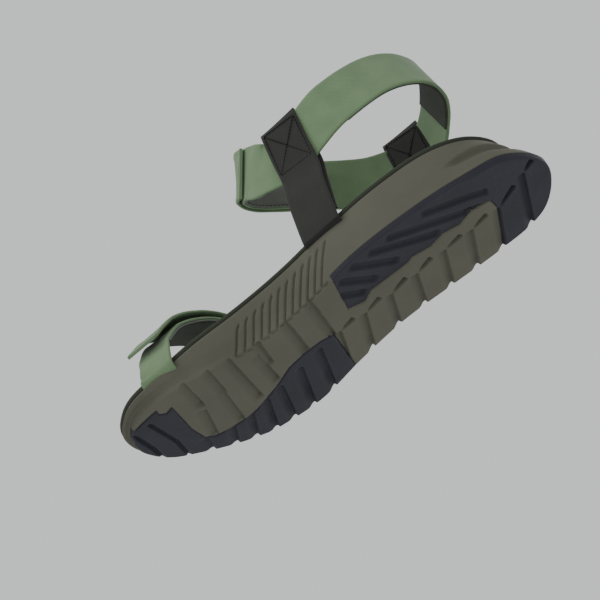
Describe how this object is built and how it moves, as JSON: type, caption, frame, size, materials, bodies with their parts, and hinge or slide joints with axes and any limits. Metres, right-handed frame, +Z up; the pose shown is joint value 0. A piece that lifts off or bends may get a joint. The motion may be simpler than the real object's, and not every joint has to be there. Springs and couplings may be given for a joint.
{
  "type": "strappy sport sandal",
  "caption": "Right-foot sport sandal with webbing ankle and toe straps, hook-and-loop flaps, taped posts and a ribbed foam sole with rubber lug pads.",
  "frame": {"origin": "on the ground plane at the middle of the sole's length, on the long axis of the foot", "axes": "+Y from heel to toe, +X towards the outer (lateral) side, +Z up from the ground"},
  "size_m": [0.1027, 0.2946, 0.1399],
  "materials": {
    "midsole_foam": "matte moulded foam",
    "footbed_foam": "matte foam edge",
    "footbed_cover": "fine textured cover",
    "shank_nylon": "matte",
    "outsole_rubber": "satin moulded rubber",
    "post_tape": "flat woven tape",
    "thread": "twisted thread",
    "webbing": "woven webbing",
    "lining": "knitted lining",
    "loop_pile": "loop pile",
    "hook_pile": "hook tape"
  },
  "bodies": {
    "sandal": {"midsole": "midsole_foam", "footbed": "footbed_foam", "footbed_cover": "footbed_cover", "shank": "shank_nylon", "heel_outsole_pad": "outsole_rubber", "front_outsole_pad": "outsole_rubber", "medial_post_tape": "post_tape", "lateral_post_tape": "post_tape", "medial_post_stitching": "thread", "lateral_post_stitching": "thread", "ankle_strap": "webbing", "heel_lining": "lining", "instep_lining": "lining", "instep_loop_patch": "loop_pile", "toe_base_strap": "webbing", "toe_lining": "lining", "toe_loop_patch": "loop_pile", "toe_lateral_strap": "webbing"},
    "instep_closure": {"instep_flap": "webbing", "instep_hook_patch": "hook_pile"},
    "toe_closure": {"toe_flap": "webbing", "toe_hook_patch": "hook_pile"}
  },
  "joints": [
    {"name": "instep_flap_peel", "type": "hinge", "parent": "sandal", "child": "instep_closure", "pos_m": [0.0274, -0.0437, 0.1129], "axis": [0.056, 0.4069, -0.9118], "range_deg": [0, 95]},
    {"name": "toe_flap_peel", "type": "hinge", "parent": "sandal", "child": "toe_closure", "pos_m": [0.0382, 0.0552, 0.0564], "axis": [0, 1, 0], "range_deg": [0, 110]}
  ]
}
